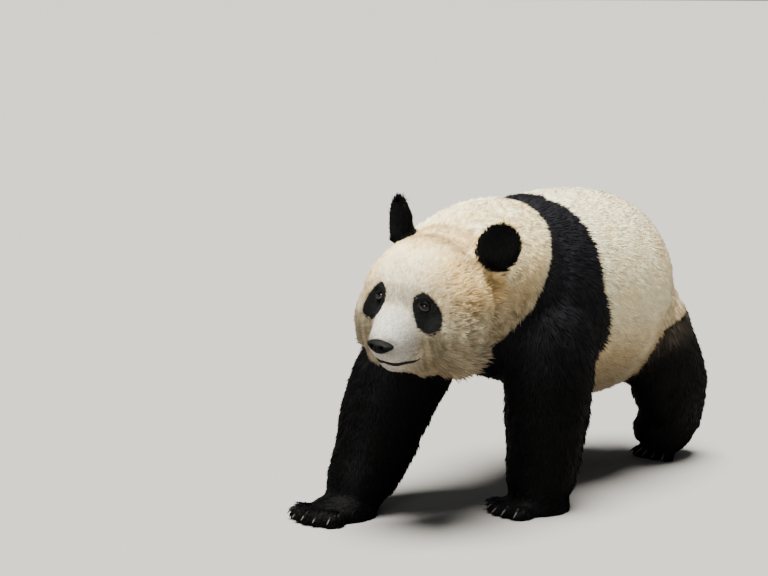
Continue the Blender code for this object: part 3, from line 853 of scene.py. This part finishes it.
class Coat:
    """Tufts sown over the skin, with roots, sizes and colours."""

    def __init__(self, skin, lie, parts):
        self.skin = skin
        self.piece = coat_piece_names(skin)
        area = np.linalg.norm(crossed_sides(skin.points, skin.triangles), axis=1) / 2
        density = skin.blend("density") * (1 + 1.1 * skin.muzzle + 0.6 * skin.near_eye)
        density[skin.points[:, 2] < SOLE] = 0
        self.owner, self.corner = sown(area * density[skin.triangles].mean(axis=1))
        root = self.read(skin.points)
        keep = RANDOM.random(TUFTS) > bare_amount(HEAD.into(root), self.read(skin.on_head))
        self.owner, self.corner, self.root = self.owner[keep], self.corner[keep], root[keep]
        self.count = len(self.root)
        self.head_xyz = HEAD.into(self.root)
        self.normal = unit(self.read(skin.normals))
        self.parts = {name: self.read(column) for name, column in parts.items()}
        self.lie = self.ruffled(laid_flat(self.read(lie), self.normal))
        self.sizes = self.tuft_sizes()
        self.black = rough_black(self.root, self.head_xyz, self.parts)
        self.black += RANDOM.normal(size=self.count) * np.where(self.parts["head"] > 0.5, 0.0014, 0.0018)
        self.colour = self.tuft_colours()
        self.gathered()
        self.held_back()

    def read(self, field):
        """A field of the skin, read at the roots."""
        values = field[self.skin.triangles[self.owner]]
        corner = self.corner if values.ndim == 2 else self.corner[..., None]
        return (values * corner).sum(axis=1)

    def ruffled(self, lie):
        """The lie with the small wanderings of a real coat."""
        turn = 0.22 * waves(self.root, 0.06, 11) + 0.2 * waves(self.root, 0.018, 12)
        turn += 0.13 * RANDOM.normal(size=self.count)
        return unit(lie + np.cross(self.normal, lie) * turn[:, None])

    def tuft_sizes(self):
        """Each tuft's length, lift, width, curl and root paleness."""
        skin = self.skin
        muzzle, near_eye, belly = (self.read(field) for field in (skin.muzzle, skin.near_eye, skin.belly))
        length = self.read(skin.blend("length")) * MM
        length *= (1 - 0.45 * muzzle) * (1 - 0.45 * near_eye) * (1 + 0.25 * belly)
        length *= RANDOM.uniform(0.75, 1.15, self.count)
        head, down = self.parts["head"], -self.normal[:, 2]
        lips = ease(20 * MM, 7 * MM, mouth_distance(self.head_xyz)) * head
        jaw = ease(0.15, 0.6, down) * head * (1 - muzzle) * RANDOM.uniform(0.2, 1, self.count)
        fore = self.parts["left_fore"] + self.parts["right_fore"]
        feather = ease(0, 0.7, self.normal[:, 1]) * fore * ease(0.04, 0.12, self.root[:, 2])
        claws = [centre(name) for name in CLAWS]
        cuff = ease(22 * MM, 10 * MM, nearest(self.root, claws)) * ease(0.2, -0.3, down)
        length *= (1 - 0.65 * lips) * (1 + 1.3 * jaw) * (1 + 0.25 * feather) * (1 + 0.25 * cuff)
        lift = self.read(skin.depth) * (1 - 0.5 * lips) * (1 + 1.3 * jaw) * (1 + 0.45 * feather)
        lift *= 1 + 1.1 * cuff
        lift *= RANDOM.uniform(0.55, 1.08, self.count) * (1 + 0.12 * waves(self.root, 0.02, 13))
        width = self.read(skin.blend("width")) * MM * (1 - 0.25 * muzzle) * (1 - 0.2 * near_eye)
        width *= RANDOM.uniform(0.75, 1.25, self.count)
        curl = length * 0.1 * RANDOM.normal(size=self.count)
        return [length, lift, width, curl, self.read(skin.blend("paleness of the roots"))]

    def tuft_colours(self):
        """The marking's colour at each root, varied from tuft to tuft."""
        colour = coat_colour(self.root, self.head_xyz, self.parts, self.black)
        light = 1 + 0.08 * RANDOM.normal(size=self.count)
        flecks = 0.22 * self.read(self.skin.muzzle) * ease(-0.03, -0.1, self.head_xyz[:, 2])
        light -= 0.45 * (RANDOM.random(self.count) < flecks)
        return np.clip(colour * light.clip(0.45, 1.25)[:, None], 0, 0.95)

    def gathered(self):
        """Draws neighbouring tips together into locks, each with its own tone."""
        length, lift = self.sizes[:2]
        shaggy = self.read(self.skin.blend("shagginess"))
        tip = self.root + self.lie * length[:, None]
        leaders = np.arange(0, self.count, LOCK)
        tree = KDTree(len(leaders))
        for k in leaders:
            tree.insert(Vector(tip[k]), int(k))
        tree.balance()
        chief = np.array([tree.find(Vector(p))[1] for p in tip])
        way = tip + (0.35 + 0.25 * shaggy)[:, None] * (tip[chief] - tip) - self.root
        self.lie = laid_flat(way, self.normal)
        tone, rise = (RANDOM.normal(size=self.count)[chief].clip(-2, 2) for _ in range(2))
        self.colour = np.clip(self.colour * (1 + tone * (0.07 + 0.13 * shaggy))[:, None], 0, 0.95)
        self.sizes[1] = lift * (1 + rise * (0.06 + 0.14 * shaggy))

    def held_back(self):
        """Shortens tufts that reach over a marking's edge, and white ones beside the black."""
        length, lift, width = self.sizes[:3]
        tip = self.root + self.lie * length[:, None]
        at_tip = black_amount(tip, HEAD.into(tip), self.parts)
        off_head = self.parts["head"] <= 0.5
        allowed = np.where(off_head, 11 * MM, 2.5 * MM) * RANDOM.uniform(0.5, 1.5, self.count)
        crossing = (np.sign(self.black) != np.sign(at_tip)) & (np.abs(at_tip) > allowed)
        share = (np.abs(self.black) + allowed) / (np.abs(self.black) + np.abs(at_tip) + 1e-6)
        share = np.where(crossing, np.clip(share, 0.25, 1), 1)
        beside = ease(-0.05, -0.006, self.black) * (self.black < 0) * off_head
        self.sizes[0] = length * share * (1 - 0.08 * beside)
        self.sizes[1] = lift * (0.4 + 0.6 * share) * (1 - 0.15 * beside)
        self.sizes[2] = width * (0.3 + 0.7 * share) * (1 - 0.4 * beside)

    def meshes(self):
        """The name and mesh of each coat piece in turn."""
        piece_of = self.piece[self.owner]
        for name in sorted(set(self.piece)):
            chosen = np.flatnonzero(self.piece == name)
            places = np.zeros((len(self.piece), 3, 2), np.float32)
            places[chosen] = unwrapped(self.skin, chosen)
            at = np.flatnonzero(piece_of == name)
            assert len(at) * len(TUFT_FACES) < PIECE_LIMIT, (name, len(at))
            uv = (places[self.owner[at]] * self.corner[at][..., None]).sum(axis=1)
            sizes = [size[at] for size in self.sizes]
            points, normals = tuft_points(self.root[at], self.normal[at], self.lie[at], sizes)
            yield name, tuft_mesh(name, points, normals, uv, sizes[4], self.colour[at])


# ---- materials
def material(name, roughness):
    made = bpy.data.materials.new(name)
    made.use_nodes = True
    shader = made.node_tree.nodes["Principled BSDF"]
    shader.inputs["Roughness"].default_value = roughness
    return made, made.node_tree, shader


def node(tree, kind, **inputs):
    """A new node, its inputs linked to sockets or set to values."""
    made = tree.nodes.new("ShaderNode" + kind)
    for name, value in inputs.items():
        if isinstance(value, bpy.types.NodeSocket):
            tree.links.new(value, made.inputs[name])
        else:
            made.inputs[name].default_value = value
    return made


def ramped(tree, value, low, high, span=(0, 1)):
    """Runs from colour low to colour high over this span of values."""
    ramp = node(tree, "ValToRGB", Fac=value)
    for element, position, colour in zip(ramp.color_ramp.elements, span, (low, high)):
        element.position = position
        element.color = (*colour, 1)
    return ramp.outputs["Color"]


def multiplied(tree, first, second):
    """Two colours multiplied; sockets 6, 7 and 2 are the colour ones."""
    made = node(tree, "Mix")
    made.data_type = "RGBA"
    made.blend_type = "MULTIPLY"
    made.inputs[0].default_value = 1
    tree.links.new(first, made.inputs[6])
    tree.links.new(second, made.inputs[7])
    return made.outputs[2]


def painted_material(name, roughness, shine, scale, tones,
                     span=(0, 1), roots=None, cells=False, bump=None):
    """The points' paint, varied by noise or cells that may also raise the surface."""
    made, tree, shader = material(name, roughness)
    shader.inputs["Specular IOR Level"].default_value = shine
    paint = node(tree, "VertexColor")
    paint.layer_name = "coat"
    colour = paint.outputs["Color"]
    if roots:
        # darkens each tuft towards its root: painted shade between the tufts
        colour = multiplied(tree, colour, ramped(tree, paint.outputs["Alpha"], roots, WHITE, (0, 0.82)))
    place = node(tree, "TexCoord").outputs["Object"]
    if cells:
        grain = node(tree, "TexVoronoi", Vector=place, Scale=scale)
        grain.feature = "SMOOTH_F1"
    else:
        grain = node(tree, "TexNoise", Vector=place, Scale=scale, Detail=3 if bump else 2)
    value = grain.outputs["Distance" if cells else "Fac"]
    tree.links.new(multiplied(tree, colour, ramped(tree, value, *tones, span)), shader.inputs["Base Color"])
    if bump:
        raised = node(tree, "Bump", Height=value, Strength=bump[0], Distance=bump[1])
        raised.invert = cells
        tree.links.new(raised.outputs["Normal"], shader.inputs["Normal"])
    return made


WHITE = (1, 1, 1)
HAIR_TONES = ((0.8, 0.78, 0.75), WHITE)
UNDERFUR_TONES = ((0.5, 0.46, 0.42), (0.95, 0.95, 0.95))
LEATHER_TONES = (WHITE, (0.62, 0.6, 0.6))
# painted shade deep in the coat: the tint at a tuft's root
HAIR_ROOT_SHADE = (0.3, 0.22, 0.15)


# ---- pieces
def finished(obj, made, slot, *nodes):
    """Gives a piece its material, unwrap and body; slot is not used."""
    obj.data.materials.append(made)
    unwrap(obj)
    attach(obj, "root")
    if nodes:
        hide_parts(*nodes)


def skin_piece(skin, parts):
    """The skin, painted like the coat, in the place of all the flesh."""
    fur = painted_material("underfur", 0.8, 0.5, 900, UNDERFUR_TONES, bump=(0.6, 0.0015))
    skin.mesh.shade_smooth()
    head_xyz = HEAD.into(skin.points)
    black = rough_black(skin.points, head_xyz, parts)
    painted(skin.mesh, coat_colour(skin.points, head_xyz, parts, black))
    finished(linked("skin", skin.mesh), fur, "cream_fur", *FLESH)


def coat_pieces(coat):
    hair = painted_material("coat_hair", 0.6, 0.06, 420, HAIR_TONES, span=(0.3, 0.7), roots=HAIR_ROOT_SHADE)
    for name, mesh in coat.meshes():
        mesh.materials.append(hair)
        obj = linked(name, mesh)
        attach(obj, "root")


def closed(name, rings, sides, points, colours, wrap=False):
    """A smooth painted object over rings of points, capped or wrapped."""
    faces = []
    for ring in range(rings if wrap else rings - 1):
        here, after = ring * sides, (ring + 1) % rings * sides
        for k in range(sides):
            other = (k + 1) % sides
            faces.append((here + k, here + other, after + other, after + k))
    if not wrap:
        faces += [tuple(range(sides)), tuple((rings - 1) * sides + k for k in range(sides))]
    mesh = mesh_from(name, points, faces)
    with editing(mesh) as bm:
        bmesh.ops.recalc_face_normals(bm, faces=bm.faces)
    painted(mesh, colours)
    mesh.shade_smooth()
    return linked(name, mesh)


def eyeball(name, side, made):
    """A dark ball with an iris, a pupil and a slight cornea."""
    rings, sides = 44, 56
    middle, *axes = eye_frame(side)
    tilt, turn = round_grid(rings, sides, 0.02)
    arc = tilt * BALL
    reach = BALL + 0.6 * MM * ease(7.5 * MM, 3 * MM, arc)
    spokes = 0.5 + 0.5 * np.sin(turn * 17 + 2 * np.sin(turn * 5))
    colours = mix(TINTS["iris"], TINTS["iris_spoke"], spokes)
    for tint, start, end in (("pupil", 3.6, 3.1), ("iris_rim", 5.6, 7), ("eye_white", 7.6, 9.5)):
        colours = mix(colours, TINTS[tint], ease(start * MM, end * MM, arc))
    obj = closed(name + "ball", rings, sides, middle + on_ball(tilt, turn, *axes) * reach[:, None], colours)
    finished(obj, made, "eye", name)


LID_RINGS = (                   # millimetres beyond the slit along the ball, and over the ball
    (-0.7, -1.2), (-0.15, 0.15), (0.4, 0.9), (1.4, 1.5), (2.8, 1.9), (3.7, 1.5), (4.7, 1.9), (6.5, 1.4),
    (9, -0.8), (5, -3),
)


def eyelids(name, side, made):
    """The rim and folds of both lids, in one ring round the eye."""
    sides = 64
    middle, *axes = eye_frame(side)
    turn = turns(sides)
    rings = []
    for beyond, over in LID_RINGS:
        way = on_ball((slit(turn) + beyond * MM) / BALL, turn, *axes)
        rings.append(middle + (BALL + over * MM) * way)
    colours = np.tile(TINTS["lid"], (len(rings) * sides, 1))
    # painted highlight: the lower rim lighter, as where it catches the light
    below = ease(-0.2, 0.7, -np.sin(turn))[:, None]
    colours[2 * sides:4 * sides] += np.tile(below, (2, 1)) * TINTS["lower_lid_highlight"]
    finished(closed(name, len(rings), sides, np.concatenate(rings), colours, wrap=True), made, "nose_leather")


def nose_piece(made):
    """The nose leather with its nostrils and the groove between."""
    rings, sides = 72, 112
    corners = HEAD.into(points_of(NODES["nose"].data))
    low, high = corners.min(axis=0), corners.max(axis=0)
    wide, tall = (high[0] - low[0]) / 2 + 4 * MM, (high[2] - low[2]) / 2
    middle = (low + high) / 2
    middle[1:] = high[1] - NOSE_DEEP + 3 * MM, middle[2] - 3 * MM
    tilt, turn = round_grid(rings, sides, 0.015)
    x, z, y = np.sin(tilt) * np.cos(turn), np.sin(tilt) * np.sin(turn), np.cos(tilt)
    front = ease(0.05, 0.55, y)
    side = np.abs(x)
    hole = bell(side - 0.4, 0.15) * bell(z + 0.05, 0.24)
    notch = bell(side - 0.66, 0.2) * bell(z + 0.3 - 0.6 * (side - 0.66), 0.1)
    groove = bell(x, 0.05) * ease(0.35, -0.25, z)
    wing = bell(side - 0.62, 0.16) * bell(z - 0.05, 0.35)
    dent = front * (0.6 * hole + 0.34 * notch + 0.13 * groove - 0.1 * wing)
    taper = 1 - 0.34 * ease(0.35, -1, z) - 0.05 * ease(0.3, 1, z)
    depth = np.sign(y) * np.abs(y) ** 0.85 - dent
    height = z - 0.2 * ease(0, 1, z)
    places = middle + np.stack([x * wide * taper, depth * NOSE_DEEP, height * tall], axis=1)
    # the nostrils and their notches darkened: painted shade of the openings
    colours = mix(TINTS["nose"], TINTS["nostril"], (front * (hole + 0.8 * notch)).clip(0, 1))
    finished(closed("nose_leather", rings, sides, HEAD.out(places), colours), made, "nose_leather", "nose")


def tube_points(line, radii, across, sides, flatness=1):
    """Rings of points round a line; across is a way square to it."""
    ahead = unit(np.gradient(line, axis=0))
    aside = unit(np.cross(ahead, across))
    above = np.cross(aside, ahead)
    turn = turns(sides)[None, :, None]
    rings = flatness * np.cos(turn) * aside[:, None] + np.sin(turn) * above[:, None]
    return (line[:, None] + radii[:, None, None] * rings).reshape(-1, 3)


def lip_tube(name, tree, places, lift, radii, made):
    """A dark rim along places in the head's frame, just over the skin."""
    sides = 12
    line = []
    for place in HEAD.out(places):
        point, normal, _, _ = tree.find_nearest(Vector(place))
        line.append(np.array(point) + np.array(normal) * lift)
    line = np.array(line)
    for _ in range(4):
        line[1:-1] = (line[:-2] + 2 * line[1:-1] + line[2:]) / 4
    points = tube_points(line, radii, HEAD.turned((0, 1, 0)), sides)
    finished(closed(name, len(line), sides, points, TINTS["lip"]), made, "nose_leather")


def lips(tree, made):
    """Both rims of the mouth, and the seam up to the nose."""
    t = np.linspace(-1, 1, 61)
    reach = np.abs(t)
    for name, shift in LIP_SHIFTS.items():
        places = bowed(*MOUTH, reach)
        places[:, 0] *= np.sign(t)
        places[:, 2] += shift * (1 - reach ** 3)
        lip_tube(name, tree, places, 2.4 * MM, LIP_THICK * (1 - 0.75 * reach ** 2.5), made)
    foot = HEAD.into(points_of(NODES["nose"].data))
    foot = foot[foot[:, 2].argmin()] * (0, 1, 1)
    seam = foot + (np.array(MOUTH[0]) - foot) * np.linspace(-0.15, 1, 14)[:, None]
    lip_tube("lip_seam", tree, seam, 1.0 * MM, np.full(14, 1.1 * MM), made)


def claw(name, made):
    """A smooth hook in the place of the plain one, let into the toe."""
    rings, sides = 18, 16
    corners = points_of(NODES[name].data)
    paw = centre(name.rsplit("_claw", 1)[0] + "_paw")
    order = np.argsort(np.linalg.norm(corners - paw, axis=1))
    count = len(order)
    root = corners[order[:count // 4]].mean(axis=0)
    body = corners[order[count // 3:2 * count // 3]].mean(axis=0)
    tip = corners[order[-3:]].mean(axis=0)
    t = np.linspace(CLAW_BARE, 1, rings)
    line = bowed(root, body, tip, t)
    inward = unit(paw + (0, 0, 4 * MM) - line[0])
    line += inward * (12 * MM * ease(0.6, 0, (t - CLAW_BARE) / (1 - CLAW_BARE)))[:, None]
    line[:, 2] = np.maximum(line[:, 2], 2 * MM)
    thick = CLAW_THICK * (1 - t ** 2) + 0.4 * MM
    points = tube_points(line, thick, (0, 0, 1), sides, flatness=0.62)
    points[:, 2] = np.maximum(points[:, 2], 0.8 * MM)
    colours = mix(TINTS["claw_root"], TINTS["claw_tip"], ease(0.55, 1, np.repeat(t, sides)))
    finished(closed(name + "_horn", rings, sides, points, colours), made, "claw_horn", name)


def leather(name, roughness, shine, scale, height):
    """Bare skin, horn or a wet eye, with a grain of cells."""
    return painted_material(name, roughness, shine, scale, LEATHER_TONES, cells=True, bump=(0.5, height))


def details(skin):
    """Eyes, lids, nose, lips and claws."""
    wet = leather("eye_wet", 0.03, 0.22, 60, 0.00001)
    bare = leather("nose_leather_grain", 0.62, 0.06, 700, 0.0007)
    lid = leather("lid_skin", 0.6, 0.06, 900, 0.0003)
    horn = leather("horn", 0.45, 0.3, 260, 0.0002)
    tree = BVHTree.FromPolygons(skin.points.tolist(), skin.triangles.tolist())
    for name, side in (("left_eye", 1), ("right_eye", -1)):
        eyeball(name, side, wet)
        eyelids(name + "lids", side, lid)
    nose_piece(bare)
    lips(tree, bare)
    for name in CLAWS:
        claw(name, horn)


# ---- stage
def stage():
    """A floor, a soft sky, a wide key lamp and one that glints in the eyes."""
    bpy.ops.mesh.primitive_plane_add(size=400)
    floor = bpy.context.object
    floor.name = "floor"
    made, tree, shader = material("floor", 0.9)
    shader.inputs["Base Color"].default_value = (0.24, 0.232, 0.22, 1)
    floor.data.materials.append(made)
    floor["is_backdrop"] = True
    world = bpy.data.worlds.new("world")
    bpy.context.scene.world = world
    world.use_nodes = True
    sky = world.node_tree.nodes["Background"]
    sky.inputs["Color"].default_value = (0.93, 0.96, 1, 1)
    sky.inputs["Strength"].default_value = 0.16
    lamp("key", "SUN", (0.3, -0.9, 4.8), energy=18.5, angle=math.radians(34), color=(1, 0.97, 0.92))
    glint = lamp("glint", "AREA", (1.3, -4.7, 1.75), energy=260, size=1.3)
    glint.visible_camera = glint.visible_diffuse = False


def lamp(name, kind, place, **settings):
    """A lamp turned to the middle of the animal."""
    data = bpy.data.lights.new(name, kind)
    for setting, value in settings.items():
        setattr(data, setting, value)
    return placed(linked(name, data), place, LAMP_AIM - Vector(place))


def placed(obj, place, way):
    """A lamp or the camera in its place, looking this way."""
    obj.location = place
    obj.rotation_mode = "QUATERNION"
    obj.rotation_quaternion = way.to_track_quat("-Z", "Y")
    return obj


def camera():
    """A long lens at the photo's viewing angle."""
    lens = bpy.data.cameras.new("camera")
    lens.lens = 100
    lens.sensor_width = 36
    level = math.cos(CAMERA_TILT)
    way = Vector((-math.sin(CAMERA_TURN) * level, math.cos(CAMERA_TURN) * level, -math.sin(CAMERA_TILT)))
    bpy.context.scene.camera = placed(linked("camera", lens), CAMERA_PLACE, way)


# ---- assembly
camera()
stage()
skin = Skin()
parts = parts_at(skin)
coat_pieces(Coat(skin, lie_of_coat(skin), parts))
skin_piece(skin, parts)
details(skin)
for low, high in (cad_box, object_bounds()):
    [round(value, 4) for value in (*low, *high)]
